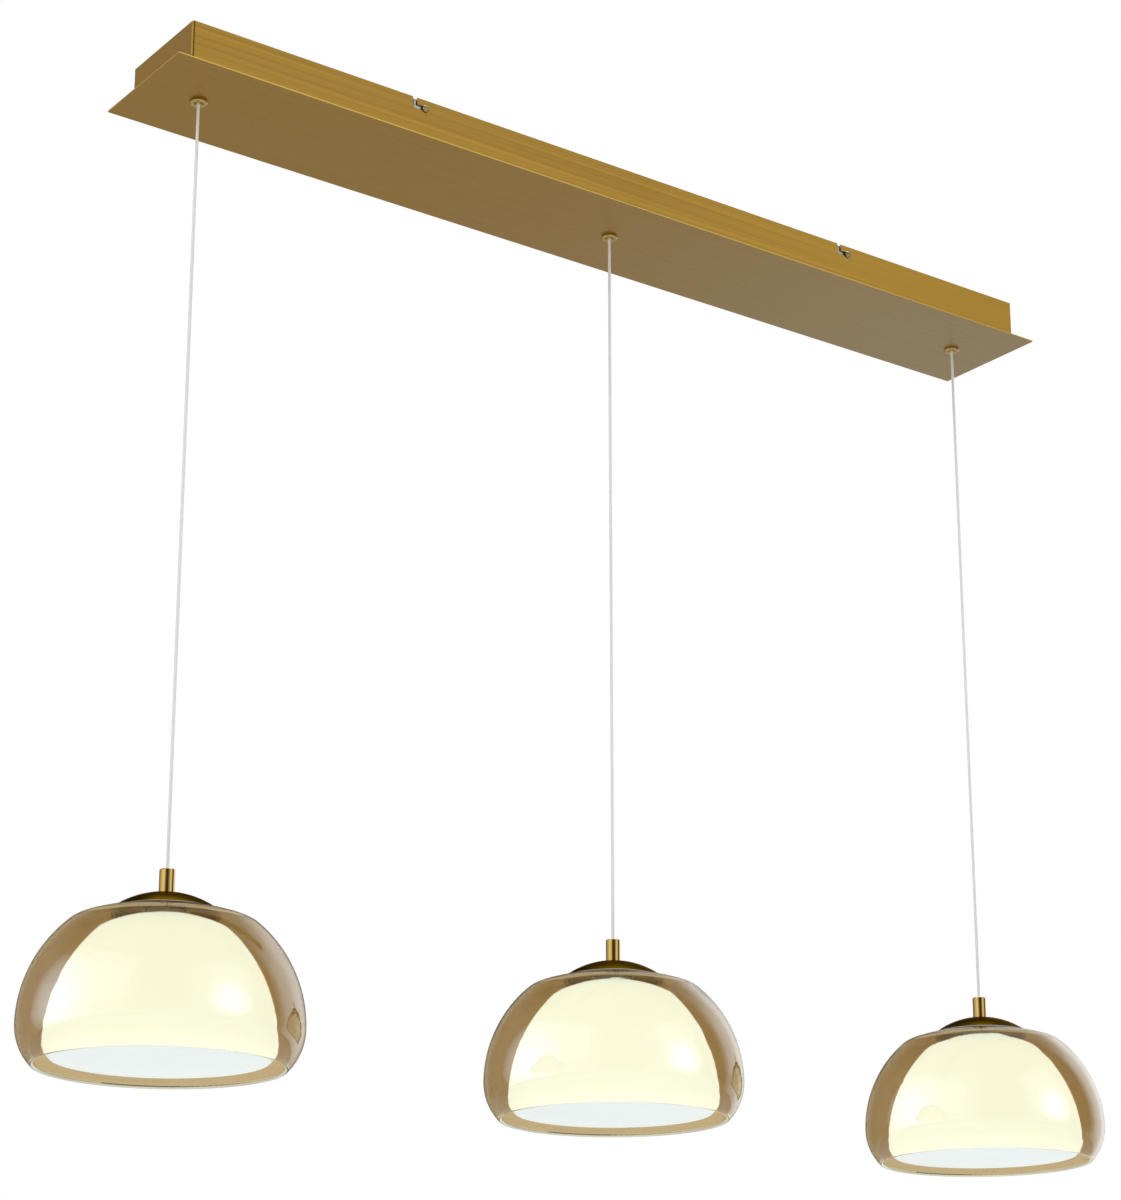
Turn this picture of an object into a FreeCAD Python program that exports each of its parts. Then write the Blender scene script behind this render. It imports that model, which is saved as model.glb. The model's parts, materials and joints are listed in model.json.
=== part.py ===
import FreeCAD, Part
import math
import os

# Linear island pendant: a long ceiling canopy with three cord-hung glass lamps.
# Millimetres. The origin is the middle of the ceiling face, +Z up, +X along the canopy.

V = FreeCAD.Vector
UP = V(0, 0, 1)

# ---------------------------------------------------------------- driving sizes
# canopy: a flanged brass plate carrying a folded sheet housing
canopy_overhang = 60.0
canopy_width = 140.0
plate_thickness = 1.5
plate_edge = 0.35
housing_inset = 20.0
housing_width = 116.0
housing_height = 45.0
housing_wall = 1.2
housing_corner = 2.5
housing_flange = 9.0

# L-shaped slots that hook the housing on the lock screws
slot_pitch = 552.0
slot_entry = 5.0
slot_width = 4.6
slot_depth = 9.5
slot_run = 12.0

# ceiling bracket
bracket_length = 760.0
bracket_width = 45.0
bracket_sheet = 1.5
bracket_rib = 6.0
bracket_bend = 2.5
lug_width = 24.0
lug_height = 16.0
lug_gap = 0.4
inner_slot_pitch = 400.0
outer_slot_pitch = 660.0
ceiling_slot_length = 20.0
ceiling_slot_width = 5.5
cable_entry = 20.0
cable_entry_x = -90.0
earth_hole_x = 60.0

# screws, studs and nuts
lock_screw = 3.8
lock_head = 7.6
lock_head_height = 2.8
lock_head_edge = 1.0
lock_head_bevel = 1.5
lock_head_gap = 0.2
lock_tail = 3.0
thread_gap = 0.1
cut_over = 1.0
driver_slot = 1.0
driver_slot_depth = 0.9
stud = 3.0
stud_height = 6.0
nut_flats = 5.5
nut_height = 2.4
housing_stud_inset = 50.0
housing_stud_rows = 4

# pendants
pendant_count = 3
pendant_pitch = 490.0
hang_drop = 752.0
cord = 3.0
cord_joint_gap = 0.4
cord_pivot_gap = 0.8
bend_length = 10.0

# brass cord gland, its nut and the nylon grip above it
gland_ring = 17.0
gland_ring_height = 3.0
gland_lip = 1.0
gland_mouth = 8.8
gland_throat = 4.4
gland_shank = 10.0
gland_shank_length = 9.5
funnel_depth = 5.0
gland_nut_flats = 14.0
gland_nut_height = 3.0
grip_width = 14.0
grip_height = 13.0
grip_socket = 4.0
grip_boss = 7.0
grip_boss_reach = 11.0
grip_screw = 3.0
grip_screw_proud = 1.0
cord_gap = 0.1
grip_bevel = 1.0
lead_rise = 15.0
lead_reach = 32.0
lead_lane_gap = 12.0
lead_turn = 60.0
lead_landing = 100.0
lead_sway = 8.0
port_pitch = 9.0

# LED driver, terminal block and wiring inside the canopy
driver_x = -200.0
driver_length = 150.0
driver_width = 42.0
driver_height = 28.0
driver_cover = 16.0
driver_base = 2.0
driver_base_width = 28.0
driver_ear = 9.0
driver_corner = 1.5
groove_count = 9
groove_pitch = 11.8
groove_radius = 1.0
block_x = -330.0
block_size = 20.0
block_height = 18.0
block_step = 7.0
tower_length = 10.0
tower_width = 8.8
pole_pitch = 11.0
block_edge = 1.0
pole_count = 3
pole_bore = 3.4
pole_screw = 4.0
pole_screw_spacing = 14.8
pole_bore_height = 6.0
pole_screw_recess = 0.3
wire = 2.2
wire_height = 11.0
bend_share = 0.45
lead_lane = 14.0
earth_stud_x = -296.0
earth_stud_y = 36.0
earth_tag = 8.0
earth_tag_sheet = 0.8
earth_crimp = 3.0
lead_straight = 24.0

# lamp: stem and cap
stem = 14.0
stem_length = 22.0
stem_edge = 0.6
stem_waist = 7.0
bush = 9.0
bush_length = 7.0
bush_bevel = 0.5
thread_relief = 1.0
cap_edge = 49.0
cap_sphere = 80.0
cap_sheet = 1.0
cap_land = 9.0
seal = 0.5
seal_width = 4.0
spacer = 18.0
washer = 1.0

# lamp: outer glass, measured up from the rim plane
glass_radius = 125.0
glass_wall = 3.2
belly_height = 36.0
glass_lower_arc = 50.7
glass_side_arc = 118.0
glass_shoulder_arc = 25.0
glass_crown_arc = 240.0
glass_crown_height = 141.9
land = 22.0

# lamp: opal inner shade and its diffuser
opal_radius = 101.0
opal_wall = 3.0
opal_belly_height = 20.0
opal_lower_arc = 16.0
opal_side_arc = 140.0
opal_shoulder_arc = 25.0
opal_crown_arc = 126.0
opal_crown_height = 135.0
diffuser_height = 7.3
diffuser_sheet = 2.0
diffuser_skirt = 6.0
diffuser_gap = 0.3

# lamp: light source
bolt = 9.8
bolt_bore = 6.0
bolt_head_flats = 17.0
bolt_head = 4.0
bolt_reach = 9.0
carrier_sheet = 1.5
carrier_top = 20.0
carrier_foot = 40.0
carrier_flange = 46.0
carrier_drop = 17.0
carrier_draft = 1.0
board = 44.0
board_sheet = 1.6
chip_count = 12
chip_ring = 31.0
chip_length = 5.0
chip_width = 3.0
chip_height = 0.8

# ---------------------------------------------------------------- derived places
canopy_length = (pendant_count - 1) * pendant_pitch + 2 * canopy_overhang
housing_length = canopy_length - 2 * housing_inset
housing_floor = -housing_height
plate_bottom = housing_floor - plate_thickness
wall_inside = housing_width / 2 - housing_wall
slot_entries = (-slot_pitch / 2 - slot_run / 2, slot_pitch / 2 - slot_run / 2)
gland_mouth_z = plate_bottom - gland_ring_height
pivot_z = gland_mouth_z + funnel_depth
gland_top = plate_bottom + gland_shank_length
grip_base = gland_top - grip_socket
grip_top = grip_base + grip_height
stud_pitch = (housing_length - 2 * housing_stud_inset) / (housing_stud_rows - 1)
stud_rows = [(k - (housing_stud_rows - 1) / 2) * stud_pitch for k in range(housing_stud_rows)]
stud_y = wall_inside - housing_flange / 2
driver_left = driver_x - driver_length / 2
driver_right = driver_x + driver_length / 2
ear_x = driver_length / 2 + driver_ear / 2
port_z = housing_floor + wire_height
pole_z = housing_floor + pole_bore_height
pole_step_z = housing_floor + block_height - block_step
pole_screw_seat = pole_z + wire / 2 + cord_gap
stem_top = plate_bottom - hang_drop


# ---------------------------------------------------------------- helpers
def solid_of(shape):
    """The single solid of a boolean result."""
    shape = shape.removeSplitter()
    return shape.Solids[0] if len(shape.Solids) == 1 else shape


def rod(x, y, z, radius, length, axis=UP):
    return Part.makeCylinder(radius, length, V(x, y, z), axis)


def block(low, high):
    """A box from its lowest to its highest corner."""
    return Part.makeBox(high[0] - low[0], high[1] - low[1], high[2] - low[2], V(*low))


def rounded_plate(length, width, radius, z, height):
    """A plate with round upright corners, centred on the Z axis."""
    plate = block((-length / 2, -width / 2, z), (length / 2, width / 2, z + height))
    uprights = [e for e in plate.Edges if abs(e.tangentAt(e.FirstParameter).z) > 0.9]
    return plate.makeFillet(radius, uprights)


def hexagon(x, y, z, flats, height):
    """A hexagonal prism, given across its flats."""
    reach = flats / math.sqrt(3)
    turns = [math.radians(60 * k) for k in range(7)]
    points = [V(x + reach * math.cos(a), y + reach * math.sin(a), z) for a in turns]
    return Part.Face(Part.makePolygon(points)).extrude(V(0, 0, height))


def line(a, b):
    return Part.makeLine(V(a[0], 0, a[1]), V(b[0], 0, b[1]))


def on_circle(centre, radius, angle):
    return (centre[0] + radius * math.cos(angle), centre[1] + radius * math.sin(angle))


def arc(centre, radius, start, end):
    """An arc in the radius-height plane, between two angles."""
    middle = (start + end) / 2
    points = [on_circle(centre, radius, a) for a in (start, middle, end)]
    return Part.Arc(*[V(r, 0, z) for r, z in points]).toShape()


def revolve(edges):
    """Turns a closed profile in the radius-height plane about the Z axis."""
    face = Part.Face(Part.Wire(Part.__sortEdges__(edges)))
    return face.revolve(V(0, 0, 0), UP, 360)


def lathe(points):
    """A turned solid from the corners of its profile, (radius, height)."""
    ring = points + points[:1]
    return revolve([line(a, b) for a, b in zip(ring, ring[1:])])


def circles_meet(c1, r1, c2, r2):
    """The two points, (radius, height), where two circles cross."""
    dr, dz = c2[0] - c1[0], c2[1] - c1[1]
    gap = math.hypot(dr, dz)
    along = (r1 * r1 - r2 * r2 + gap * gap) / (2 * gap)
    side = math.sqrt(r1 * r1 - along * along)
    base = (c1[0] + along * dr / gap, c1[1] + along * dz / gap)
    return [(base[0] + s * side * dz / gap, base[1] - s * side * dr / gap) for s in (1, -1)]


def heading(a, b):
    return math.atan2(b[1] - a[1], b[0] - a[0])


def bent_tube(points, radius):
    """A tube of straight runs joined by tangent arcs, as large as the runs allow."""
    points = [V(*p) for p in points]
    edges = []
    start = points[0]
    for before, corner, after in zip(points, points[1:], points[2:]):
        back, ahead = (before - corner), (after - corner)
        reach = bend_share * min(back.Length, ahead.Length)
        back.normalize()
        ahead.normalize()
        turn = math.pi - back.getAngle(ahead)
        bend = reach / math.tan(turn / 2)
        bisector = back + ahead
        bisector.normalize()
        middle = corner + bisector * (math.hypot(bend, reach) - bend)
        first, last = corner + back * reach, corner + ahead * reach
        edges.append(Part.makeLine(start, first))
        edges.append(Part.Arc(first, middle, last).toShape())
        start = last
        print("bend radius %.1f mm" % bend)
    edges.append(Part.makeLine(start, points[-1]))
    path = Part.Wire(edges)
    ring = Part.makeCircle(radius, points[0], points[1] - points[0])
    tube = path.makePipeShell([Part.Wire(ring)], True, False)
    print("tube volume over section times length %.4f"
          % (tube.Volume / (math.pi * radius ** 2 * path.Length)))
    return tube


# ---------------------------------------------------------------- ceiling bracket
def lug_places():
    """X of each pair of lugs: the far ends of the slots in the housing."""
    return [x + slot_run for x in slot_entries]


def obround(x, z, run, width):
    """An obround prism through both long walls of the housing."""
    deep = housing_width + 2 * cut_over
    side = V(0, 1, 0)
    shape = rod(x, -deep / 2, z, width / 2, deep, side)
    shape = shape.fuse(rod(x + run, -deep / 2, z, width / 2, deep, side))
    middle = block((x, -deep / 2, z - width / 2), (x + run, deep / 2, z + width / 2))
    return shape.fuse(middle)


def bracket_arm(x):
    """A cross arm whose two ends are bent down into lugs."""
    reach = wall_inside - lug_gap
    outer = block((x - lug_width / 2, -reach, -lug_height), (x + lug_width / 2, reach, 0))
    low = (x - lug_width / 2 - cut_over, -reach + bracket_sheet, -lug_height - cut_over)
    high = (x + lug_width / 2 + cut_over, reach - bracket_sheet, -bracket_sheet)
    inner = block(low, high)
    inner_bend = bracket_bend - bracket_sheet
    outer = outer.makeFillet(bracket_bend, upper_x_edges(outer))
    return outer.cut(inner.makeFillet(inner_bend, upper_x_edges(inner)))


def upper_x_edges(shape):
    """The edges along X at the top of a block."""
    top = shape.BoundBox.ZMax
    flat = [e for e in shape.Edges if abs(e.tangentAt(e.FirstParameter).x) > 0.9]
    return [e for e in flat if abs(e.CenterOfMass.z - top) < 1e-6]


def ceiling_slots():
    """Screw slots to the ceiling, the cable entry and the earth screw's hole."""
    span = ceiling_slot_length - ceiling_slot_width
    low_z, tall = -bracket_sheet - cut_over, bracket_sheet + 2 * cut_over
    tools = [rod(cable_entry_x, 0, low_z, cable_entry / 2, tall)]
    tools.append(rod(earth_hole_x, 0, low_z, lock_screw / 2 + thread_gap, tall))
    for pitch in (inner_slot_pitch, outer_slot_pitch):
        for x in (-pitch / 2, pitch / 2):
            ends = [rod(x + s * span / 2, 0, low_z, ceiling_slot_width / 2, tall)
                    for s in (-1, 1)]
            low = (x - span / 2, -ceiling_slot_width / 2, low_z)
            high = (x + span / 2, ceiling_slot_width / 2, cut_over)
            tools.append(block(low, high).fuse(ends))
    return tools


def ceiling_bracket():
    """Zinc-plated strip with turned-down long edges and two pairs of screw lugs."""
    half, wide = bracket_length / 2, bracket_width / 2
    rib_z = -bracket_sheet - bracket_rib
    strip = block((-half, -wide, rib_z), (half, wide, 0))
    strip = strip.makeFillet(bracket_bend, upper_x_edges(strip))
    hollow = block((-half - cut_over, -wide + bracket_sheet, rib_z - cut_over),
                   (half + cut_over, wide - bracket_sheet, -bracket_sheet))
    inner_bend = bracket_bend - bracket_sheet
    strip = strip.cut(hollow.makeFillet(inner_bend, upper_x_edges(hollow)))
    for x in lug_places():
        strip = strip.fuse(bracket_arm(x))
    strip = strip.cut(ceiling_slots())
    reach = housing_width
    for x in lug_places():
        hole = rod(x, -reach, -slot_depth, lock_screw / 2 + thread_gap, 2 * reach, V(0, 1, 0))
        strip = strip.cut(hole)
    return solid_of(strip)


def pan_head_screw(length):
    """A slotted screw along -Z with a bevelled pan head, its seat at z = 0."""
    radius, head, head_height = lock_screw / 2, lock_head, lock_head_height
    screw = lathe([(0, -length), (radius, -length), (radius, 0), (head / 2, 0),
                   (head / 2, lock_head_edge), (head / 2 - lock_head_bevel, head_height),
                   (0, head_height)])
    low = (-head, -driver_slot / 2, head_height - driver_slot_depth)
    return solid_of(screw.cut(block(low, (head, driver_slot / 2, head_height + cut_over))))


def lock_screws():
    """Four screws through the lugs; the housing's slots hook under their heads."""
    seat = housing_width / 2 + lock_head_gap
    length = seat - (wall_inside - lug_gap - bracket_sheet) + lock_tail
    group = []
    for x in lug_places():
        for side in (-1, 1):
            screw = pan_head_screw(length)
            screw.rotate(V(0, 0, 0), V(1, 0, 0), -90 * side)
            screw.translate(V(x, side * seat, -slot_depth))
            group.append(screw)
    return Part.makeCompound(group)


def bracket_earth_screw():
    """Earthing screw hanging head down from the bracket's strip."""
    length = bracket_sheet - thread_gap
    screw = pan_head_screw(length)
    screw.rotate(V(0, 0, 0), V(1, 0, 0), 180)
    screw.translate(V(earth_hole_x, 0, -bracket_sheet))
    return screw


# ---------------------------------------------------------------- canopy sheet parts
def stud_places():
    """Welded studs of the plate: along the housing, at the driver, block and earth."""
    rows = [(x, side * stud_y, housing_wall) for x in stud_rows for side in (-1, 1)]
    ears = [(driver_x + side * ear_x, 0, driver_base) for side in (-1, 1)]
    return rows + ears + [(earth_stud_x, earth_stud_y, earth_tag_sheet)]


def canopy_housing():
    """Folded sheet frame, open to the ceiling, with an inward foot flange."""
    inner_corner = housing_corner - housing_wall
    inside_length = housing_length - 2 * housing_wall
    frame = rounded_plate(housing_length, housing_width, housing_corner,
                          housing_floor, housing_height)
    room = rounded_plate(inside_length, 2 * wall_inside, inner_corner,
                         housing_floor + housing_wall, housing_height)
    window = rounded_plate(inside_length - 2 * housing_flange,
                           2 * wall_inside - 2 * housing_flange, inner_corner,
                           housing_floor - cut_over, housing_height)
    frame = frame.cut([room, window])
    for x in slot_entries:
        entry = block((x - slot_entry / 2, -housing_width, -slot_depth),
                      (x + slot_entry / 2, housing_width, cut_over))
        frame = frame.cut(entry.fuse(obround(x, -slot_depth, slot_run, slot_width)))
    for x, y, seat in stud_places()[:2 * housing_stud_rows]:
        frame = frame.cut(rod(x, y, housing_floor - cut_over, stud / 2 + thread_gap,
                              seat + 2 * cut_over))
    return solid_of(frame)


def canopy_plate():
    """Flanged brushed plate with three gland holes and welded studs."""
    plate = rounded_plate(canopy_length, canopy_width, plate_edge * 2,
                          plate_bottom, plate_thickness)
    rims = [e for e in plate.Edges if abs(e.BoundBox.ZMax - plate_bottom) < 1e-6]
    plate = plate.makeChamfer(plate_edge, rims)
    for x in pendant_places():
        hole = gland_shank / 2 + thread_gap
        plate = plate.cut(rod(x, 0, plate_bottom - cut_over, hole,
                              plate_thickness + 2 * cut_over))
    for x, y, seat in stud_places():
        plate = plate.fuse(rod(x, y, housing_floor - plate_edge, stud / 2,
                               stud_height + plate_edge))
    return solid_of(plate)


def plate_nuts():
    """Hexagon nuts on the plate's studs."""
    group = []
    for x, y, seat in stud_places():
        z = housing_floor + seat
        nut = hexagon(x, y, z, nut_flats, nut_height)
        group.append(nut.cut(rod(x, y, z - cut_over, stud / 2 + thread_gap,
                                 nut_height + 2 * cut_over)))
    return Part.makeCompound(group)


# ---------------------------------------------------------------- driver and wiring
def driver_case():
    """LED driver: a ribbed box on a base strip with a slotted ear at each end."""
    body = driver_length / 2 - driver_cover
    floor = housing_floor
    case = block((-body, -driver_width / 2, floor), (body, driver_width / 2,
                                                     floor + driver_height))
    upper = [e for e in case.Edges if e.BoundBox.ZMin > floor + driver_height - 1e-6]
    case = case.makeFillet(driver_corner, upper)
    for k in range(groove_count):
        x = (k - (groove_count - 1) / 2) * groove_pitch
        groove = rod(x, -driver_width, floor + driver_height, groove_radius,
                     2 * driver_width, V(0, 1, 0))
        case = case.cut(groove)
    reach = driver_length / 2 + driver_ear
    base = block((-reach, -driver_base_width / 2, floor),
                 (reach, driver_base_width / 2, floor + driver_base))
    case = case.fuse(base)
    for side in (-1, 1):
        case = case.cut(rod(side * ear_x, 0, floor - cut_over, stud / 2 + thread_gap,
                            driver_base + 2 * cut_over))
    case.translate(V(driver_x, 0, 0))
    return solid_of(case)


def output_ports():
    """Y of the three output cords where they enter the driver."""
    return [(k - (pendant_count - 1) / 2) * port_pitch for k in range(pendant_count)]


def driver_covers():
    """Terminal covers over the driver's two ends, with holes for the wires."""
    group = []
    floor = housing_floor + driver_base
    for side in (-1, 1):
        near, far = driver_length / 2 - driver_cover, driver_length / 2
        ends = sorted((driver_x + side * near, driver_x + side * far))
        cover = block((ends[0], -driver_width / 2, floor),
                      (ends[1], driver_width / 2, housing_floor + driver_height))
        upper = [e for e in cover.Edges
                 if e.BoundBox.ZMin > housing_floor + driver_height - 1e-6]
        cover = cover.makeFillet(driver_corner, upper)
        ports = output_ports() if side > 0 else pole_places()[:2]
        width = cord if side > 0 else wire
        for y in ports:
            start = driver_x + side * far - side * driver_cover / 2
            hole = rod(start, y, port_z, width / 2 + cord_gap, driver_cover, V(side, 0, 0))
            cover = cover.cut(hole)
        group.append(solid_of(cover))
    return Part.makeCompound(group)


def pole_places():
    return [(k - (pole_count - 1) / 2) * pole_pitch for k in range(pole_count)]


def screw_offsets():
    """Clamping screws sit on both sides of each pole's tower."""
    return (-pole_screw_spacing / 2, pole_screw_spacing / 2)


def terminal_block():
    """Supply terminals: stepped poles with wire bores along X and screw wells."""
    wide = pole_pitch * pole_count / 2 + block_edge
    half = block_size / 2
    body = block((block_x - half, -wide, housing_floor), (block_x + half, wide, pole_step_z))
    for y in pole_places():
        tower = block((block_x - tower_length / 2, y - tower_width / 2, pole_step_z),
                      (block_x + tower_length / 2, y + tower_width / 2,
                       housing_floor + block_height))
        body = body.fuse(tower)
    for y in pole_places():
        body = body.cut(rod(block_x - half - cut_over, y, pole_z, pole_bore / 2,
                            block_size + 2 * cut_over, V(1, 0, 0)))
        for x in screw_offsets():
            body = body.cut(rod(block_x + x, y, pole_screw_seat,
                                pole_screw / 2 + thread_gap, block_height))
    return solid_of(body)


def terminal_screws():
    """Clamping screws of the terminal block."""
    length = pole_step_z - pole_screw_recess - pole_screw_seat
    group = []
    for y in pole_places():
        for x in screw_offsets():
            screw = rod(block_x + x, y, pole_screw_seat, pole_screw / 2, length)
            top = pole_screw_seat + length
            slit = block((block_x + x - pole_screw, y - driver_slot / 2,
                          top - driver_slot_depth),
                         (block_x + x + pole_screw, y + driver_slot / 2, top + cut_over))
            group.append(screw.cut(slit))
    return Part.makeCompound(group)


def pendant_places():
    return [(k - (pendant_count - 1) / 2) * pendant_pitch for k in range(pendant_count)]


def output_lead(k):
    """Tail of a pendant's cord, from its gland to the driver's output."""
    x, port = pendant_places()[k], output_ports()[k]
    side = (x > driver_x) - (x < driver_x)
    crest, ground = grip_top + lead_rise, housing_floor + cord / 2
    route = [(x, 0, pivot_z + cord_pivot_gap), (x, 0, crest)]
    if side < 0:
        lane = -driver_width / 2 - lead_lane_gap
        turn = driver_right + lead_turn
        route += [(x + lead_reach, -lead_sway, crest), (x + 2 * lead_reach, lane, ground),
                  (turn, lane, ground), (turn, port, port_z)]
    elif x < driver_right + 2 * lead_landing:
        route += [(x - lead_reach, 0, crest), (driver_right + lead_reach, port, port_z)]
    else:
        lane = lead_lane
        route += [(x - lead_reach, 0, crest), (x - 2 * lead_reach, lane, ground),
                  (driver_right + lead_landing, lane, ground),
                  (driver_right + lead_reach, port, port_z)]
    return bent_tube(route + [(driver_right - driver_cover / 2, port, port_z)], cord / 2)


def mains_leads():
    """Two short wires from the terminal block to the driver's input."""
    start, end = block_x + block_size / 4, driver_left + driver_cover / 2
    group = []
    for y in pole_places()[:2]:
        group.append(bent_tube([(start, y, pole_z), (start + lead_straight, y, pole_z),
                                (end - driver_cover, y, port_z), (end, y, port_z)], wire / 2))
    return Part.makeCompound(group)


def earth_lead():
    """Earth wire from the terminal block to a ring tag on the plate's stud."""
    y = pole_places()[-1]
    tag_z = housing_floor
    tag = rod(earth_stud_x, earth_stud_y, tag_z, earth_tag / 2, earth_tag_sheet)
    tail = wire / 2 + earth_tag_sheet / 2
    tongue = block((earth_stud_x - wire, earth_stud_y - earth_tag, tag_z),
                   (earth_stud_x + wire, earth_stud_y, tag_z + earth_tag_sheet))
    tag = tag.fuse(tongue)
    tag = tag.cut(rod(earth_stud_x, earth_stud_y, tag_z - cut_over, stud / 2 + thread_gap,
                      earth_tag_sheet + 2 * cut_over))
    route = [(block_x + block_size / 4, y, pole_z),
             (block_x + lead_straight, y, pole_z),
             (earth_stud_x, y + earth_tag, tag_z + tail),
             (earth_stud_x, earth_stud_y - earth_tag + earth_crimp, tag_z + tail)]
    return solid_of(bent_tube(route, wire / 2).fuse(tag))


# ---------------------------------------------------------------- gland and grip
def cord_gland():
    """Shallow brass ring with a trumpet mouth, its shank passing up the plate."""
    ring, lip, mouth = gland_ring / 2, gland_lip, gland_mouth / 2
    throat, shank = gland_throat / 2, gland_shank / 2
    low, seat = gland_mouth_z, plate_bottom
    return lathe([(mouth + lip / 2, low), (ring - lip, low), (ring, low + lip), (ring, seat),
                  (shank, seat), (shank, gland_top), (throat, gland_top), (throat, pivot_z),
                  (mouth, low + lip / 2)])


def gland_nuts():
    """Backing nuts that clamp the glands on the plate."""
    group = []
    for x in pendant_places():
        nut = hexagon(x, 0, housing_floor, gland_nut_flats, gland_nut_height)
        group.append(nut.cut(rod(x, 0, housing_floor - cut_over,
                                 gland_shank / 2 + thread_gap,
                                 gland_nut_height + 2 * cut_over)))
    return Part.makeCompound(group)


def grip_screw_z():
    return (gland_top + grip_top) / 2


def cord_grip():
    """Nylon grip over the gland's shank, with a side boss for its screw."""
    outer, inner = grip_width / 2, gland_shank / 2 + thread_gap
    hole = cord / 2 + cord_gap
    body = lathe([(inner, grip_base), (outer, grip_base), (outer, grip_top - grip_bevel),
                  (outer - grip_bevel, grip_top), (hole, grip_top), (hole, gland_top),
                  (inner, gland_top)])
    z = grip_screw_z()
    boss = rod(0, 0, z, grip_boss / 2, grip_boss_reach, V(0, 1, 0))
    body = body.fuse(boss)
    body = body.cut(rod(0, 0, grip_base - cut_over, hole, grip_height + 2 * cut_over))
    body = body.cut(rod(0, 0, grip_base - cut_over, inner, grip_socket + cut_over))
    body = body.cut(rod(0, 0, z, grip_screw / 2 + thread_gap, grip_boss_reach + cut_over,
                        V(0, 1, 0)))
    return solid_of(body)


def grip_screws():
    """Set screws that pinch the cords in the grips."""
    group = []
    for x in pendant_places():
        start = cord / 2
        length = grip_boss_reach - start + grip_screw_proud
        screw = rod(x, start, grip_screw_z(), grip_screw / 2, length, V(0, 1, 0))
        slit = block((x - grip_screw, start + length - driver_slot_depth,
                      grip_screw_z() - driver_slot / 2),
                     (x + grip_screw, start + length + cut_over,
                      grip_screw_z() + driver_slot / 2))
        group.append(screw.cut(slit))
    return Part.makeCompound(group)


# ---------------------------------------------------------------- lamp
class Bowl:
    """A blown bowl: lower, side, shoulder and crown arcs that meet tangentially."""

    def __init__(self, radius, belly, lower, side, shoulder, crown, crown_top):
        self.lower, self.side, self.shoulder, self.crown = lower, side, shoulder, crown
        self.lower_centre = (radius - lower, belly)
        self.side_centre = (radius - side, belly)
        self.crown_centre = (0, crown_top - crown)
        meetings = circles_meet(self.side_centre, side - shoulder,
                                self.crown_centre, crown - shoulder)
        self.shoulder_centre = max(meetings, key=sum)
        self.side_end = heading(self.side_centre, self.shoulder_centre)
        self.crown_start = heading(self.crown_centre, self.shoulder_centre)
        self.crown_end = math.acos(land / crown)

    def land_point(self, depth):
        """Where the flat land round the bore starts, depth below the outer face."""
        return on_circle(self.crown_centre, self.crown - depth, self.crown_end)

    def crown_z(self, r):
        return self.crown_centre[1] + math.sqrt(self.crown ** 2 - r ** 2)

    def skin(self, depth, start):
        """The arcs of a face that lies depth inside the outer one."""
        return [arc(self.lower_centre, self.lower - depth, start, 0),
                arc(self.side_centre, self.side - depth, 0, self.side_end),
                arc(self.shoulder_centre, self.shoulder - depth, self.side_end,
                    self.crown_start),
                arc(self.crown_centre, self.crown - depth, self.crown_start,
                    self.crown_end)]

    def angle_at(self, z, depth):
        """Angle on the lower arc at which the face reaches the height z."""
        return math.asin((z - self.lower_centre[1]) / (self.lower - depth))


glass_bowl = Bowl(glass_radius, belly_height, glass_lower_arc, glass_side_arc,
                  glass_shoulder_arc, glass_crown_arc, glass_crown_height)
opal_bowl = Bowl(opal_radius, opal_belly_height, opal_lower_arc, opal_side_arc,
                 opal_shoulder_arc, opal_crown_arc, opal_crown_height)

bore = bolt / 2 + diffuser_gap
opal_seat = diffuser_height + diffuser_sheet
glass_land_top = glass_bowl.land_point(0)[1]
glass_land_under = glass_bowl.land_point(glass_wall)[1]
opal_land_top = opal_bowl.land_point(0)[1]
opal_land_under = opal_bowl.land_point(opal_wall)[1]
seal_arc = glass_crown_arc + seal
cap_centre = (0, glass_bowl.crown_centre[1] + math.sqrt(seal_arc ** 2 - cap_edge ** 2)
              - math.sqrt(cap_sphere ** 2 - cap_edge ** 2))
cap_land_z = cap_centre[1] + math.sqrt(cap_sphere ** 2 - cap_land ** 2)
lamp_height = cap_land_z + stem_length
rim_z = stem_top - lamp_height
carrier_z = opal_land_under - washer
board_z = carrier_z - carrier_drop - carrier_sheet
bush_seat = lamp_height - bush_length


def glass_shade():
    """Outer amber glass: an open bowl with a fire-polished rim and a top bore."""
    half = glass_wall / 2
    bead_height = half
    middle = glass_lower_arc - half
    start = math.asin((bead_height - belly_height) / middle)
    bead = on_circle(glass_bowl.lower_centre, middle, start)
    outer_land, inner_land = glass_bowl.land_point(0), glass_bowl.land_point(glass_wall)
    profile = glass_bowl.skin(0, start) + glass_bowl.skin(glass_wall, start)
    profile += [arc(bead, half, start, start - math.pi),
                line(outer_land, (bore, outer_land[1])),
                line((bore, outer_land[1]), (bore, inner_land[1])),
                line((bore, inner_land[1]), inner_land)]
    return revolve(profile)


def opal_shade():
    """Opal inner shade, open at the foot where the diffuser snaps in."""
    starts = [opal_bowl.angle_at(opal_seat, depth) for depth in (0, opal_wall)]
    feet = [on_circle(opal_bowl.lower_centre, opal_lower_arc - depth, start)
            for depth, start in zip((0, opal_wall), starts)]
    outer_land, inner_land = opal_bowl.land_point(0), opal_bowl.land_point(opal_wall)
    profile = opal_bowl.skin(0, starts[0]) + opal_bowl.skin(opal_wall, starts[1])
    profile += [line(feet[0], feet[1]), line(outer_land, (bore, outer_land[1])),
                line((bore, outer_land[1]), (bore, inner_land[1])),
                line((bore, inner_land[1]), inner_land)]
    return revolve(profile)


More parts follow.
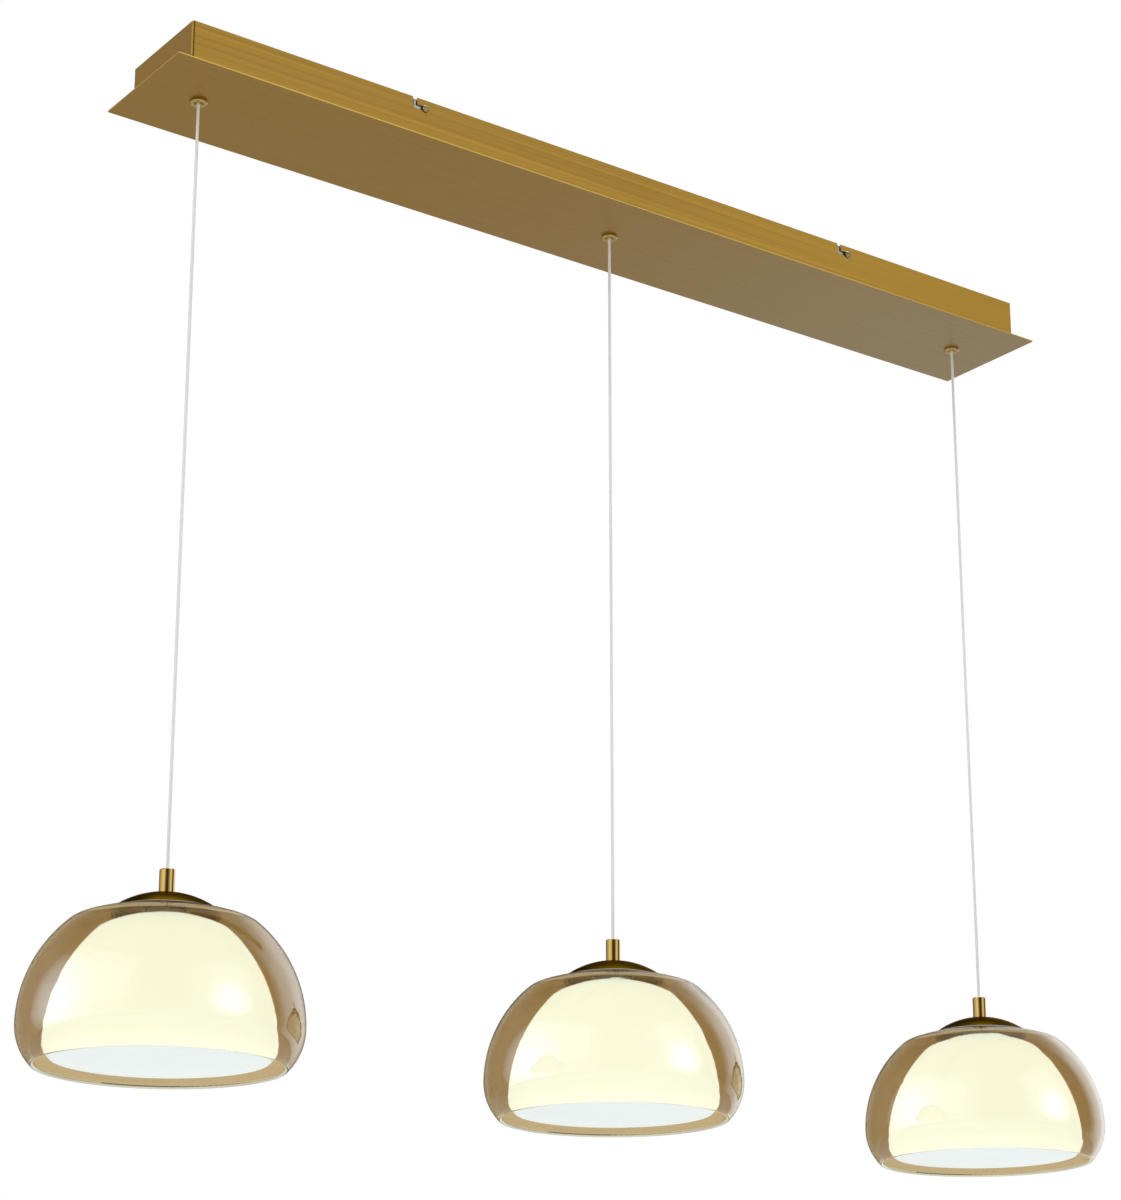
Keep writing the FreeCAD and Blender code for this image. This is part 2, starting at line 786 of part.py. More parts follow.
def diffuser():
    """Flat opal disc whose edge carries on the shade's curve, with a snap skirt."""
    low = opal_bowl.angle_at(diffuser_height, 0)
    high = opal_bowl.angle_at(opal_seat, 0)
    edge = [on_circle(opal_bowl.lower_centre, opal_lower_arc, a) for a in (low, high)]
    inner = on_circle(opal_bowl.lower_centre, opal_lower_arc - opal_wall,
                      opal_bowl.angle_at(opal_seat, opal_wall))
    skirt = inner[0] - diffuser_gap
    inside = skirt - diffuser_sheet
    top = opal_seat + diffuser_skirt
    profile = [line((0, diffuser_height), edge[0]),
               arc(opal_bowl.lower_centre, opal_lower_arc, low, high),
               line(edge[1], (skirt, opal_seat)), line((skirt, opal_seat), (skirt, top)),
               line((skirt, top), (inside, top)), line((inside, top), (inside, opal_seat)),
               line((inside, opal_seat), (0, opal_seat)),
               line((0, opal_seat), (0, diffuser_height))]
    return revolve(profile)


def cap():
    """Spun brass dome between the stem and the glass, resting on its edge seal."""
    seat_centre = glass_bowl.crown_centre
    faces = []
    for depth in (0, cap_sheet):
        foot = max(circles_meet(cap_centre, cap_sphere - depth, seat_centre, seal_arc))
        top = math.acos(cap_land / (cap_sphere - depth))
        faces.append((foot, cap_sphere - depth, top))
    feet = [heading(cap_centre, foot) for foot, radius, top in faces]
    tops = [on_circle(cap_centre, radius, top) for foot, radius, top in faces]
    under = (bore, tops[1][1])
    profile = [arc(cap_centre, radius, feet[k], top)
               for k, (foot, radius, top) in enumerate(faces)]
    profile += [arc(seat_centre, seal_arc, heading(seat_centre, faces[0][0]),
                    heading(seat_centre, faces[1][0])),
                line(tops[0], (bore, tops[0][1])), line((bore, tops[0][1]), under),
                line(under, tops[1])]
    return revolve(profile)


def seal_ring():
    """Thin ring between the cap's edge and the glass crown."""
    centre = glass_bowl.crown_centre
    ends = (math.acos(cap_edge / seal_arc), math.acos((cap_edge - seal_width) / seal_arc))
    inner, outer = glass_crown_arc, seal_arc
    corners = [on_circle(centre, radius, a) for radius in (inner, outer) for a in ends]
    return revolve([arc(centre, inner, *ends), arc(centre, outer, *ends),
                    line(corners[0], corners[2]), line(corners[1], corners[3])])


def glass_seals():
    """Silicone rings: under the cap, between the two shades and on the carrier."""
    rings = [seal_ring()]
    spans = ((opal_land_top, glass_land_under), (carrier_z, opal_land_under))
    for low, high in spans:
        rings.append(lathe([(bore, low), (spacer, low), (spacer, high), (bore, high)]))
    return Part.makeCompound(rings)


def stem_tube():
    """Turned brass stem: threaded foot, waist and a socket for the bush."""
    r, foot, waist, socket = stem / 2, bolt / 2 + thread_gap, stem_waist / 2, bush / 2
    low, top = cap_land_z, lamp_height
    thread_end = low + bolt_reach + thread_relief
    return lathe([(foot, low), (r, low), (r, top - stem_edge), (r - stem_edge, top),
                  (socket, top), (socket, bush_seat), (waist, bush_seat),
                  (waist, thread_end), (foot, thread_end)])


def stem_bush():
    """Insulating bush that holds the cord where it enters the stem."""
    r, hole = bush / 2 - cord_gap / 2, cord / 2 + cord_gap
    low, top = bush_seat, lamp_height
    return lathe([(hole, low), (r, low), (r, top - bush_bevel), (r - bush_bevel, top),
                  (hole, top)])


def hollow_bolt():
    """Hollow bolt that pulls carrier, shades, cap and stem together."""
    low = carrier_z - carrier_sheet
    shank = rod(0, 0, low, bolt / 2, cap_land_z + bolt_reach - low)
    head = hexagon(0, 0, low - bolt_head, bolt_head_flats, bolt_head)
    hole = rod(0, 0, low - bolt_head - cut_over, bolt_bore / 2, lamp_height)
    return solid_of(shank.fuse(head).cut(hole))


def led_carrier():
    """Spun aluminium carrier: a top plate, a cone and a foot flange."""
    top, sheet = carrier_z, carrier_sheet
    foot = top - carrier_drop
    return lathe([(bore, top - sheet), (bore, top), (carrier_top, top),
                  (carrier_foot, foot), (carrier_flange, foot),
                  (carrier_flange, foot - sheet), (carrier_foot - carrier_draft, foot - sheet),
                  (carrier_top - carrier_draft, top - sheet)])


def led_board():
    """Round circuit board under the carrier with its ring of LED chips."""
    disc = rod(0, 0, board_z - board_sheet, board, board_sheet)
    for k in range(chip_count):
        chip = block((chip_ring - chip_length / 2, -chip_width / 2,
                      board_z - board_sheet - chip_height),
                     (chip_ring + chip_length / 2, chip_width / 2, board_z - board_sheet))
        chip.rotate(V(0, 0, 0), UP, 360 * k / chip_count)
        disc = disc.fuse(chip)
    return solid_of(disc)


def cord_bend():
    """Flexing top of the cord, from its pivot in the gland."""
    length = bend_length - cord_joint_gap / 2
    return rod(0, 0, pivot_z - length, cord / 2, length)


def hanging_cord():
    """The cord, hanging straight from the gland to the LED board."""
    top = pivot_z - bend_length - cord_joint_gap / 2
    low = rim_z + board_z
    return rod(0, 0, low, cord / 2, top - low)


# ---------------------------------------------------------------- assembly
def write(name, shape, x=0, z=0):
    shape = shape.copy()
    shape.translate(V(x, 0, z))
    shape.exportStep("parts/%s.step" % name)
    print("%-22s %d solid(s) %.0f mm3" % (name, len(shape.Solids), shape.Volume))


os.makedirs("parts", exist_ok=True)

fixed_parts = (
    ceiling_bracket, lock_screws, bracket_earth_screw, canopy_housing, canopy_plate,
    plate_nuts, driver_case, driver_covers, terminal_block, terminal_screws,
    mains_leads, earth_lead, gland_nuts, grip_screws,
)
for make in fixed_parts:
    write(make.__name__, make())

pendant_parts = (("cord_gland", cord_gland()), ("cord_grip", cord_grip()),
                 ("cord_bend", cord_bend()), ("cord", hanging_cord()))
lamp_parts = (("stem", stem_tube()), ("stem_bush", stem_bush()), ("cap", cap()),
              ("glass_seals", glass_seals()), ("glass_shade", glass_shade()),
              ("opal_shade", opal_shade()), ("diffuser", diffuser()),
              ("hollow_bolt", hollow_bolt()), ("led_carrier", led_carrier()),
              ("led_board", led_board()))
for k, x in enumerate(pendant_places()):
    write("output_lead_%d" % (k + 1), output_lead(k))
    for name, shape in pendant_parts:
        write("%s_%d" % (name, k + 1), shape, x)
    for name, shape in lamp_parts:
        write("%s_%d" % (name, k + 1), shape, x, rim_z)

print("stem top %.2f, rim %.2f, pivot %.2f" % (stem_top, rim_z, pivot_z))
print("board top %.2f, diffuser %.2f" % (rim_z + board_z, rim_z + diffuser_height))
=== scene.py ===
import json
import math

import bpy
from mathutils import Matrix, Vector


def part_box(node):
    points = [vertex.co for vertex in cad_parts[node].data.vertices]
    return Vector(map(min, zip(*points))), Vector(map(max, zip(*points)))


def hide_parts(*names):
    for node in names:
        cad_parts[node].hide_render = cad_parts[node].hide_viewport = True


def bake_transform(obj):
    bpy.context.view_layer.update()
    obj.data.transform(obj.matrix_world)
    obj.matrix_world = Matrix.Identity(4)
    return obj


# Linear island pendant: a long brass canopy and three lit lamps on clear cords.
# Lengths are in metres, in the frame of the construction.

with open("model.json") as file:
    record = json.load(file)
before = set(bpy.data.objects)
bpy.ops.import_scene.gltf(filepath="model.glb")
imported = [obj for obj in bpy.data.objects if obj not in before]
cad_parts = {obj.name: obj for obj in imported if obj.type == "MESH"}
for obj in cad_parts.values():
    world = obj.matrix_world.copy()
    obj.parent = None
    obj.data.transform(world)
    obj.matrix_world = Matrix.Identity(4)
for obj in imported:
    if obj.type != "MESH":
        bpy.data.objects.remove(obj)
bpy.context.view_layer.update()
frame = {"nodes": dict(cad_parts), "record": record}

pendants = (1, 2, 3)
plate_low, plate_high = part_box("canopy_plate")
rim_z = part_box("glass_shade_1")[0].z
lamp_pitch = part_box("stem_2")[0].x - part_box("stem_1")[0].x

# ---------------------------------------------------------------- camera
camera_place = (-1.6706, -2.2027, -1.4022)
camera_tilt = 0.2949
camera_turn = 0.6304
camera_lens = 87.0
camera_shift = 0.09


def make_camera():
    camera = bpy.data.objects.new("camera", bpy.data.cameras.new("camera"))
    bpy.context.scene.collection.objects.link(camera)
    camera.location = camera_place
    camera.rotation_euler = (math.pi / 2 + camera_tilt, 0, -camera_turn)
    camera.data.lens = camera_lens
    camera.data.shift_y = camera_shift
    bpy.context.scene.camera = camera


# ---------------------------------------------------------------- node helpers
noise_low, noise_high = 0.3, 0.7     # most of a noise texture lies between these


def feed(tree, value, node, socket):
    """Links an output to a node's socket, or sets a plain number or colour there."""
    target = node.inputs[socket]
    if isinstance(value, bpy.types.NodeSocket):
        tree.links.new(value, target)
    elif target.type == "RGBA":
        target.default_value = (*value, 1)
    else:
        target.default_value = value


def add(tree, kind, **values):
    """A shader node; values set its properties or feed the sockets of that name."""
    node = tree.nodes.new(kind)
    for key, value in values.items():
        if hasattr(node, key):
            setattr(node, key, value)
        else:
            feed(tree, value, node, key.replace("_", " "))
    return node


def principled(name, **values):
    """A material with a Principled shader, and its tree and shader."""
    material = bpy.data.materials.new(name)
    material.use_nodes = True
    tree = material.node_tree
    shader = tree.nodes["Principled BSDF"]
    for key, value in values.items():
        feed(tree, value, shader, key.replace("_", " "))
    return material, tree, shader


def coordinates(tree, kind):
    """The X, Y and Z outputs of a texture coordinate."""
    place = add(tree, "ShaderNodeTexCoord")
    parts = add(tree, "ShaderNodeSeparateXYZ", Vector=place.outputs[kind])
    return parts.outputs["X"], parts.outputs["Y"], parts.outputs["Z"]


def noise(tree, scale, detail):
    """Noise in the object's own space, stretched by the scale of each axis."""
    place = add(tree, "ShaderNodeTexCoord")
    stretch = add(tree, "ShaderNodeMapping", Scale=scale, Vector=place.outputs["Object"])
    texture = add(tree, "ShaderNodeTexNoise", Detail=detail, Scale=1.0,
                  Vector=stretch.outputs["Vector"])
    return texture.outputs["Fac"]


def mapped(tree, source, start, end, low=0.0, high=1.0, smooth=False):
    """Maps an output from start..end to low..high, and holds it level beyond."""
    ramp = add(tree, "ShaderNodeMapRange", Value=source, From_Min=start, From_Max=end,
               To_Min=low, To_Max=high)
    if smooth:
        ramp.interpolation_type = "SMOOTHSTEP"
    return ramp.outputs["Result"]


def spread(tree, source, low, high):
    """Maps a noise's middle range to low..high."""
    return mapped(tree, source, noise_low, noise_high, low, high)


def worked_out(tree, operation, *values):
    """The result of a Math node on outputs or plain numbers."""
    node = add(tree, "ShaderNodeMath", operation=operation)
    for place, value in enumerate(values):
        feed(tree, value, node, place)
    return node.outputs["Value"]


def mixed_color(tree, share, first, second):
    """A colour between two outputs or plain colours."""
    node = add(tree, "ShaderNodeMix", data_type="RGBA", Factor=share)
    feed(tree, first, node, 6)
    feed(tree, second, node, 7)
    return node.outputs[2]


def mixed_shader(tree, share, first, second):
    node = add(tree, "ShaderNodeMixShader", Fac=share)
    feed(tree, first, node, 1)
    feed(tree, second, node, 2)
    return node.outputs["Shader"]


def color_ramp(tree, source, stops):
    """Runs an output along (position, colour) stops."""
    ramp = add(tree, "ShaderNodeValToRGB", Fac=source)
    elements = ramp.color_ramp.elements
    for place, (position, color) in enumerate(stops):
        stop = elements[place] if place < 2 else elements.new(position)
        stop.position = position
        stop.color = (*color, 1)
    return ramp.outputs["Color"]


def shades(color, share):
    """A darker and a lighter version of a colour."""
    return [c * (1 - share) for c in color], [c * (1 + share) for c in color]


def tint(tree, source, shader, color, share):
    """The base colour wanders about a colour with the noise, by a share of it."""
    dark, light = shades(color, share)
    feed(tree, color_ramp(tree, source, ((noise_low, dark), (noise_high, light))),
         shader, "Base Color")


def bump(tree, source, shader, strength, distance):
    node = add(tree, "ShaderNodeBump", Strength=strength, Distance=distance, Height=source)
    feed(tree, node.outputs["Normal"], shader, "Normal")


# ---------------------------------------------------------------- metals and plastics
brass = (0.405, 0.243, 0.040)
# painted shade, painted reflection, painted light and a painted highlight on the canopy's brass: a
# darker underside, a greyer underside to the right, brighter sides to the right and a bright plate
# edge
shaded_under_brass = (0.352, 0.203, 0.034)
reflection_grey_brass = (0.375, 0.275, 0.130)
lit_brass = (0.58, 0.36, 0.055)
edge_highlight_brass = (0.80, 0.58, 0.16)
bright_brass = (0.50, 0.35, 0.11)
dark_brass = (0.155, 0.105, 0.016)
dark_sheen = (0.35, 0.28, 0.12)
# zinc plating, darkened as painted shade on the bracket in the canopy
shaded_zinc = (0.44, 0.44, 0.45)
bright_steel = (0.64, 0.64, 0.65)
# yellow plating, darkened as painted shade for the screws in the canopy's slots
shaded_yellow_steel = (0.36, 0.29, 0.19)
spun_aluminium = (0.72, 0.73, 0.74)
cord_color = (0.86, 0.83, 0.83)

edge_highlight_band = 0.0016                   # height of the painted highlight along the plate's folded edge
brushed_along_x = (1.5, 420, 420)
cloudy_along_x = (2.0, 9.0, 60.0)
spun_about_z = (25, 25, 400)
drawn_along_z = (60, 60, 6)


def brushed_brass():
    """Lacquered brass sheet, brushed along the canopy. Painted light brightens its sides to the
    right, painted shade darkens its underside, a painted reflection greys the underside to the
    right, and a painted highlight runs along the plate's folded edge."""
    material, tree, shader = principled("brushed_brass", Metallic=1.0, Coat_Weight=0.12,
                                        Coat_Roughness=0.12)
    streaks = noise(tree, brushed_along_x, 4.0)
    clouds = noise(tree, cloudy_along_x, 3.0)
    x, _, z = coordinates(tree, "Object")
    facing = coordinates(tree, "Normal")[2]
    along = mapped(tree, x, plate_low.x / 2, plate_high.x, smooth=True)
    beyond_middle = mapped(tree, x, 0, plate_high.x)
    at_edge_highlight = mapped(tree, z, plate_low.z + edge_highlight_band, plate_low.z + edge_highlight_band / 2)
    below = mapped(tree, facing, -0.5, -0.9)
    upright = mapped(tree, facing, -0.5, -0.3)
    dark, light = shades(brass, 0.025)
    color = color_ramp(tree, clouds, ((0, dark), (1, light)))
    # painted shade on the underside, then a painted reflection greying it to the right, painted
    # light on the sides to the right and a painted highlight along the plate's edge
    color = mixed_color(tree, below, color, shaded_under_brass)
    for where, side, shade in ((along, below, reflection_grey_brass), (beyond_middle, upright, lit_brass),
                               (at_edge_highlight, upright, edge_highlight_brass)):
        color = mixed_color(tree, worked_out(tree, "MULTIPLY", where, side), color, shade)
    feed(tree, color, shader, "Base Color")
    feed(tree, spread(tree, streaks, 0.26, 0.44), shader, "Roughness")
    bump(tree, streaks, shader, 0.15, 0.0002)
    return material


def polished_brass():
    """Turned and polished: stems and glands."""
    material, tree, shader = principled("polished_brass", Metallic=1.0)
    wear = noise(tree, (60, 60, 60), 3.0)
    tint(tree, wear, shader, bright_brass, 0.05)
    feed(tree, spread(tree, wear, 0.10, 0.20), shader, "Roughness")
    return material


def aged_brass():
    """Spun cap: fine rings about its axis."""
    material, tree, shader = principled("aged_brass", Metallic=1.0, Specular_Tint=dark_sheen)
    wear = noise(tree, spun_about_z, 3.0)
    tint(tree, wear, shader, dark_brass, 0.12)
    feed(tree, spread(tree, wear, 0.24, 0.36), shader, "Roughness")
    bump(tree, wear, shader, 0.1, 0.0002)
    return material


def metal(name, color, roughness, grain=120):
    """Plain metal with a mottled finish."""
    material, tree, shader = principled(name, Metallic=1.0)
    mottle = noise(tree, (grain, grain, grain), 4.0)
    tint(tree, mottle, shader, color, 0.1)
    feed(tree, spread(tree, mottle, 0.8 * roughness, 1.2 * roughness), shader, "Roughness")
    return material


def plastic(name, color, roughness, **values):
    """Moulded plastic or rubber with a fine spark texture."""
    material, tree, shader = principled(name, **values)
    texture = noise(tree, (900, 900, 900), 2.0)
    tint(tree, texture, shader, color, 0.03)
    feed(tree, spread(tree, texture, 0.9 * roughness, 1.1 * roughness), shader, "Roughness")
    bump(tree, texture, shader, 0.15, 0.00005)
    return material


def clear_pvc():
    """The clear cord: pale, with its strands just showing."""
    material, tree, shader = principled("clear_pvc", Roughness=0.22, Coat_Weight=0.8,
                                        Coat_Roughness=0.05)
    tint(tree, noise(tree, drawn_along_z, 2.0), shader, cord_color, 0.04)
    return material


# ---------------------------------------------------------------- lamp materials
amber = (0.553, 0.427, 0.23)
lip_height = 0.0024                  # the band at the bowl's rim that takes a painted glow on its inner side
# strength and colour of the painted glow on the rim's inner side
painted_lip_glow = 0.7
painted_lip_color = (0.72, 0.70, 0.55)
opal_glow = (0.455, 0.632, 0.94)     # the lit bowls' light before the amber glass warms it
opal_strength = 3.3


def inward_share(tree):
    """1 where a bowl's surface faces its own axis, and 0 where it faces away."""
    x, y, _ = coordinates(tree, "Object")
    across = worked_out(tree, "WRAP", x, lamp_pitch / 2, -lamp_pitch / 2)
    outward = add(tree, "ShaderNodeCombineXYZ", X=across, Y=y)
    unit = add(tree, "ShaderNodeVectorMath", operation="NORMALIZE")
    feed(tree, outward.outputs["Vector"], unit, 0)
    turned = add(tree, "ShaderNodeVectorMath", operation="DOT_PRODUCT")
    feed(tree, unit.outputs["Vector"], turned, 0)
    feed(tree, add(tree, "ShaderNodeTexCoord").outputs["Normal"], turned, 1)
    return mapped(tree, turned.outputs["Value"], 0.25, -0.25)


def amber_glass():
    """Transparent glass, tinted at its surfaces, with the slight waves of a blown wall. The
    rim's inner side has a faint painted glow, standing in for the light that the wall guides down
    to it."""
    material, tree, shader = principled("amber_glass", Base_Color=amber, Roughness=0.04,
                                        IOR=1.5, Transmission_Weight=1.0,
                                        Emission_Color=painted_lip_color)
    bump(tree, noise(tree, (14, 14, 14), 1.0), shader, 0.25, 0.0015)
    z = coordinates(tree, "Object")[2]
    # painted glow on the rim's inner side
    painted_lip = mapped(tree, z, rim_z + lip_height, rim_z + lip_height / 2, 0.0, painted_lip_glow)
    feed(tree, worked_out(tree, "MULTIPLY", painted_lip, inward_share(tree)),
         shader, "Emission Strength")
    return material


def glowing(name, color, glow, strength, roughness):
    """A lit opal surface; through the amber glass all of it is as bright as the shade."""
    material, tree, shader = principled(name, Base_Color=color, Roughness=roughness)
    through_glass = add(tree, "ShaderNodeLightPath").outputs["Is Transmission Ray"]
    cloud = noise(tree, (9, 9, 9), 1.0)
    level = mapped(tree, through_glass, 0, 1, strength, opal_strength)
    wander = spread(tree, cloud, 0.98, 1.02)
    feed(tree, mixed_color(tree, through_glass, glow, opal_glow), shader, "Emission Color")
    feed(tree, worked_out(tree, "MULTIPLY", level, wander), shader, "Emission Strength")
    bump(tree, cloud, shader, 0.05, 0.001)
    return material


def make_materials():
    """One material for each slot of the record, and one for the lock screws: a yellow plating
    darkened as painted shade.
    """
    return {
        "zinc_steel": metal("zinc_steel", shaded_zinc, 0.32, 60),
        "fastener_steel": metal("fastener_steel", bright_steel, 0.24),
        "shaded_yellow_steel": metal("shaded_yellow_steel", shaded_yellow_steel, 0.28),
        "brushed_brass": brushed_brass(),
        "polished_brass": polished_brass(),
        "aged_brass": aged_brass(),
        "driver_plastic": plastic("driver_plastic", (0.80, 0.80, 0.78), 0.45),
        "terminal_plastic": plastic("terminal_plastic", (0.70, 0.70, 0.66), 0.4),
        "nylon": plastic("nylon", (0.78, 0.76, 0.70), 0.4, Subsurface_Weight=0.2),
        "clear_pvc": clear_pvc(),
        "supply_wire": plastic("supply_wire", (0.17, 0.06, 0.025), 0.3),
        "earth_wire": plastic("earth_wire", (0.16, 0.36, 0.04), 0.3),
        "amber_glass": amber_glass(),
        "opal_acrylic": glowing("opal_acrylic", (0.8, 0.8, 0.78), (0.92, 1.0, 0.98), 0.7, 0.25),
        "opal_diffuser": glowing("opal_diffuser", (0.6, 0.6, 0.6), (0.80, 0.95, 0.93), 0.42, 0.4),
        "silicone": plastic("silicone", (0.62, 0.60, 0.56), 0.5),
        "aluminium": metal("aluminium", spun_aluminium, 0.35, 200),
        "white_board": plastic("white_board", (0.85, 0.85, 0.82), 0.35),
    }


def dress_nodes(materials):
    """Every CAD node takes the material of its slot; the lock screws have a yellow plating,
    darkened as painted shade.
    """
    for part in frame["record"]["subparts"]:
        name = part["node"]
        node = frame["nodes"][name]
        finish = "shaded_yellow_steel" if name == "lock_screws" else part["material_slot"]
        if not node.material_slots:
            node.data.materials.append(None)
        for place in node.material_slots:
            place.material = materials[finish]


# ---------------------------------------------------------------- cords
cord_diameter = 0.003
cord_sides = 20
cord_steps = 64


def cord_line(top, low):
    """The cord's centreline: a smooth spline down from its gland."""
    curve = bpy.data.curves.new("cord_route", "CURVE")
    curve.dimensions = "3D"
    curve.resolution_u = cord_steps
    spline = curve.splines.new("NURBS")
    middle = (top + low) / 2
    spline.points.add(2)
    for point, place in zip(spline.points, (top, middle, low)):
        point.co = (*place, 1)
    spline.order_u = 3
    spline.use_endpoint_u = True
    holder = bpy.data.objects.new("cord_route", curve)
    mesh = bpy.data.meshes.new_from_object(holder)
    points = [v.co.copy() for v in mesh.vertices]
    bpy.data.objects.remove(holder)
    return points


def tube(name, points, radius, sides):
    """A closed round tube along a line that hangs about straight down."""
    mesh = bpy.data.meshes.new(name)
    corners, faces = [], []
    for place in points:
        for k in range(sides):
            turn = 2 * math.pi * k / sides
            corners.append(place + radius * Vector((math.cos(turn), math.sin(turn), 0)))
    for ring in range(len(points) - 1):
        for k in range(sides):
            a, b = ring * sides + k, ring * sides + (k + 1) % sides
            faces.append((b, a, a + sides, b + sides))
    faces.append(tuple(range(sides)))
    faces.append(tuple(reversed(range(len(corners) - sides, len(corners)))))
    mesh.from_pydata([tuple(c) for c in corners], [], faces)
    mesh.shade_smooth()
    piece = bpy.data.objects.new(name, mesh)
    bpy.context.scene.collection.objects.link(piece)
    return piece


def make_cord(n, material):
    """Clear cord from the gland's throat down to the LED board."""
    low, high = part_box("cord_bend_%d" % n)
    cord_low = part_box("cord_%d" % n)[0].z
    x, y = (low.x + high.x) / 2, (low.y + high.y) / 2
    top, end = Vector((x, y, high.z)), Vector((x, y, cord_low))
    line = cord_line(top, end)
    piece = tube("cord_piece_%d" % n, line, cord_diameter / 2, cord_sides)
    piece.data.materials.append(material)
    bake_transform(piece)
    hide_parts("cord_bend_%d" % n, "cord_%d" % n)


# ---------------------------------------------------------------- floor and world
floor_height = -1.75
floor_radius = 4.0
floor_sides = 96
floor_color = (0.82, 0.82, 0.81)
floor_fade_start = 0.35              # share of the radius where it starts to turn white
floor_mirror_level = 0.55

# The room that metal mirrors. Its ring runs once round from -X; rises are a ray's Z.
horizon_levels = ((0.00, 0.94), (0.05, 0.85), (0.09, 0.58), (0.13, 0.14), (0.17, 0.07),
                  (0.21, 0.08), (0.25, 0.50), (0.29, 0.92), (0.34, 0.90), (0.39, 0.32),
                  (0.43, 0.10), (0.46, 0.12), (0.495, 1.50), (0.56, 1.50), (0.61, 0.80),
                  (0.65, 0.15), (0.76, 0.20), (0.85, 0.60), (0.91, 1.02))
warmth = 1.15                        # above 1, the dimmer parts of the ring turn warmer
ground_color = (0.62, 0.62, 0.62)
ground_rise, horizon_rise = -0.30, -0.05
wall_rise, ceiling_rise = 0.50, 0.78
ceiling_share = 0.2
ambient_level = 0.75


def make_floor():
    """Pale round floor that fades into the white background; from below it isn't seen."""
    mesh = bpy.data.meshes.new("floor")
    turns = [2 * math.pi * k / floor_sides for k in range(floor_sides)]
    ring = [(floor_radius * math.cos(turn), floor_radius * math.sin(turn), 0) for turn in turns]
    mesh.from_pydata(ring, [], [tuple(range(floor_sides))])
    floor = bpy.data.objects.new("floor", mesh)
    bpy.context.scene.collection.objects.link(floor)
    floor.location.z = floor_height
    material, tree, shader = principled("floor", Base_Color=floor_color, Roughness=0.7)
    reach = add(tree, "ShaderNodeVectorMath", operation="LENGTH")
    feed(tree, add(tree, "ShaderNodeTexCoord").outputs["Object"], reach, 0)
    fade = mapped(tree, reach.outputs["Value"], floor_fade_start * floor_radius, floor_radius,
                  smooth=True)
    mirrored = add(tree, "ShaderNodeLightPath").outputs["Is Glossy Ray"]
    white = add(tree, "ShaderNodeEmission",
                Strength=mapped(tree, mirrored, 0, 1, 1.0, floor_mirror_level))
    clear = add(tree, "ShaderNodeBsdfTransparent")
    surface = mixed_shader(tree, fade, shader.outputs["BSDF"], white.outputs["Emission"])
    below = add(tree, "ShaderNodeNewGeometry").outputs["Backfacing"]
    feed(tree, mixed_shader(tree, below, surface, clear.outputs["BSDF"]),
         tree.nodes["Material Output"], "Surface")
    mesh.materials.append(material)


def mirrored_room(tree):
    """A ring of bright and dark walls, grey below it and dim overhead."""
    x, y, z = coordinates(tree, "Generated")
    turn = mapped(tree, worked_out(tree, "ARCTAN2", y, x), -math.pi, math.pi)
    stops = [(position, (level, level ** warmth, level ** (2 * warmth - 1)))
             for position, level in horizon_levels]
    rise = mapped(tree, z, ground_rise, horizon_rise, smooth=True)
    color = mixed_color(tree, rise, ground_color, color_ramp(tree, turn, stops))
    level = mapped(tree, z, wall_rise, ceiling_rise, 1.0, ceiling_share, smooth=True)
    return add(tree, "ShaderNodeBackground", Color=color, Strength=level).outputs["Background"]


def plain_light(tree, level):
    return add(tree, "ShaderNodeBackground", Color=(1, 1, 1), Strength=level).outputs["Background"]


def make_world():
    """White to the eye and through glass, a room to what mirrors it, soft light to the rest."""
    world = bpy.data.worlds.new("studio")
    bpy.context.scene.world = world
    world.use_nodes = True
    tree = world.node_tree
    tree.nodes.clear()
    path = add(tree, "ShaderNodeLightPath").outputs
    lit = mixed_shader(tree, path["Is Glossy Ray"], plain_light(tree, ambient_level),
                       mirrored_room(tree))
    seen = worked_out(tree, "MAXIMUM", path["Is Camera Ray"], path["Is Transmission Ray"])
    add(tree, "ShaderNodeOutputWorld", Surface=mixed_shader(tree, seen, lit, plain_light(tree, 1)))


# ---------------------------------------------------------------- lamps of the studio
middle = (0, 0, -0.6)
lamps_middle = (-0.1, 0, -0.88)
card_color = (0.72, 0.88, 1.0)
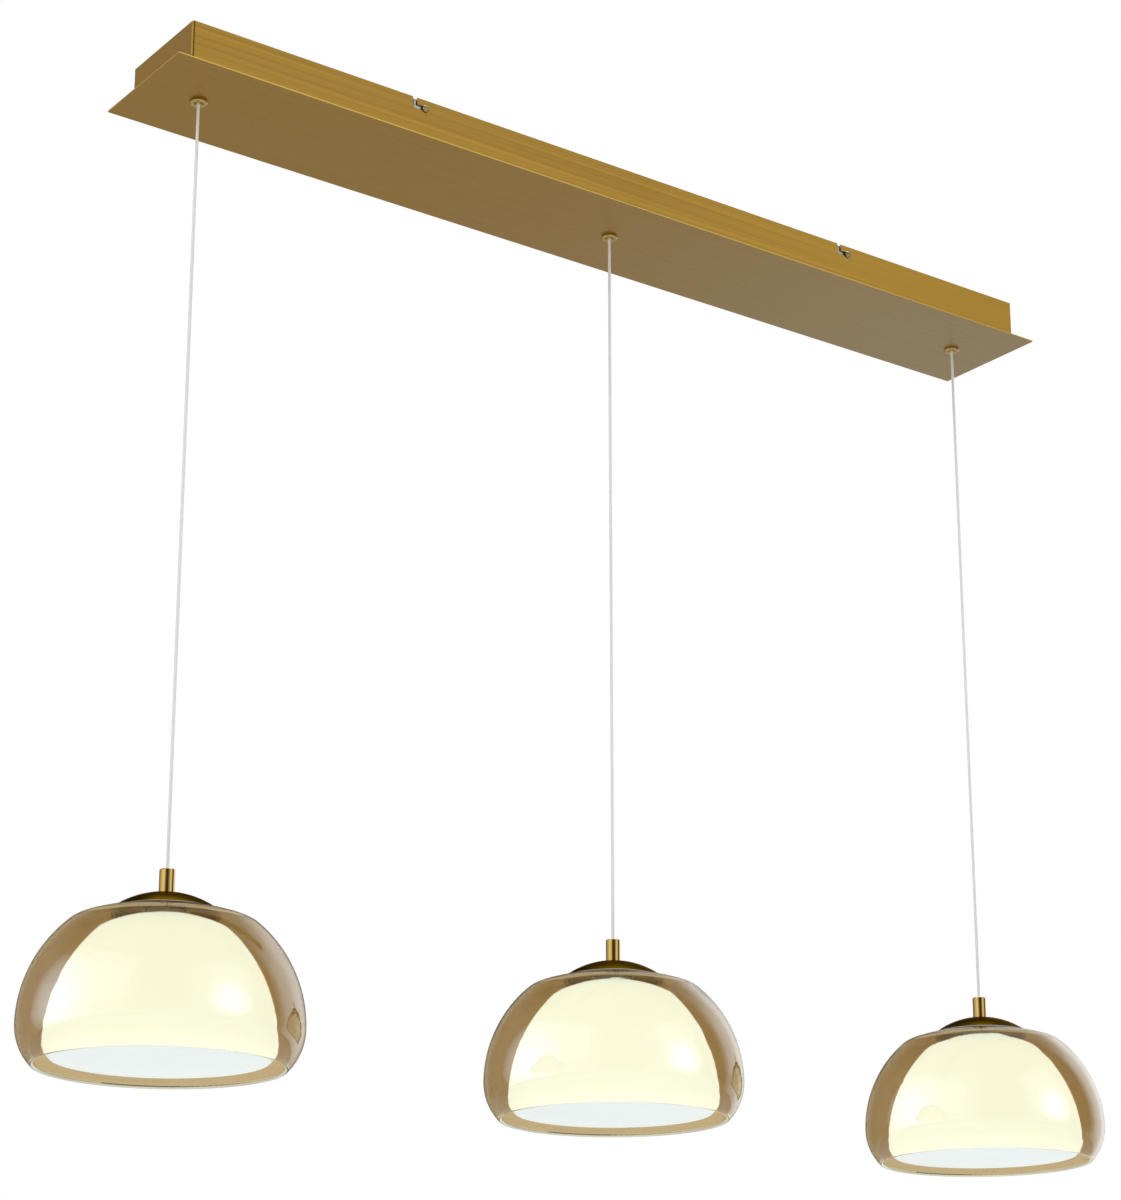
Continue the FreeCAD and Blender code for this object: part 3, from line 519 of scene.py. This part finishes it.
# name, place, size across and power in watts
soft_lights = (("soft_left", (-3.2, -0.6, 0.6), 2.4, 10),
               ("soft_front", (1.6, -3.2, 0.9), 2.4, 8),
               ("soft_top", (0.3, 0.4, 2.4), 2.5, 40))
# name, place, size across, power and the angle in degrees over which the light spreads
glaze_cards = (("card_left", (-3.4, 1.7, -0.3), 6.0, 75, 70),
               ("card_right", (1.2, -2.5, -0.3), 3.0, 8, 40))
light_bounces = 24                   # through the walls of a lamp, front and back


def make_lamp(name, place, aim, size, power):
    """A square soft light aimed at a point."""
    light = bpy.data.lights.new(name, "AREA")
    light.size = size
    light.energy = power
    holder = bpy.data.objects.new(name, light)
    bpy.context.scene.collection.objects.link(holder)
    holder.location = place
    direction = Vector(aim) - Vector(place)
    holder.rotation_euler = direction.to_track_quat("-Z", "Y").to_euler()
    holder.visible_transmission = False
    return holder


def glass_shades(name):
    """A collection of the three glass shades, for a light to name."""
    group = bpy.data.collections.new(name)
    for n in pendants:
        group.objects.link(frame["nodes"]["glass_shade_%d" % n])
    return group


def make_soft_lights():
    """Studio lights; the glass doesn't mirror the one overhead."""
    lights = [make_lamp(name, place, middle, size, power)
              for name, place, size, power in soft_lights]
    unmirrored = glass_shades("unmirrored")
    for shade in unmirrored.collection_objects:
        shade.light_linking.link_state = "EXCLUDE"
    lights[-1].light_linking.receiver_collection = unmirrored


def make_glaze_cards():
    """Soft cards that only the glass shades mirror; each fades out towards its edge."""
    glazing = glass_shades("glazing")
    for name, place, size, power, fade in glaze_cards:
        card = make_lamp(name, place, lamps_middle, size, power)
        card.data.shape = "DISK"
        card.data.color = card_color
        card.data.spread = math.radians(fade)
        card.light_linking.receiver_collection = glazing


# ---------------------------------------------------------------- assembly
scene = bpy.context.scene
scene.view_settings.view_transform = "Standard"
scene.cycles.max_bounces = light_bounces
scene.cycles.transmission_bounces = light_bounces
make_camera()
materials = make_materials()
dress_nodes(materials)
for n in pendants:
    make_cord(n, materials["clear_pvc"])
make_floor()
make_world()
make_soft_lights()
make_glaze_cards()
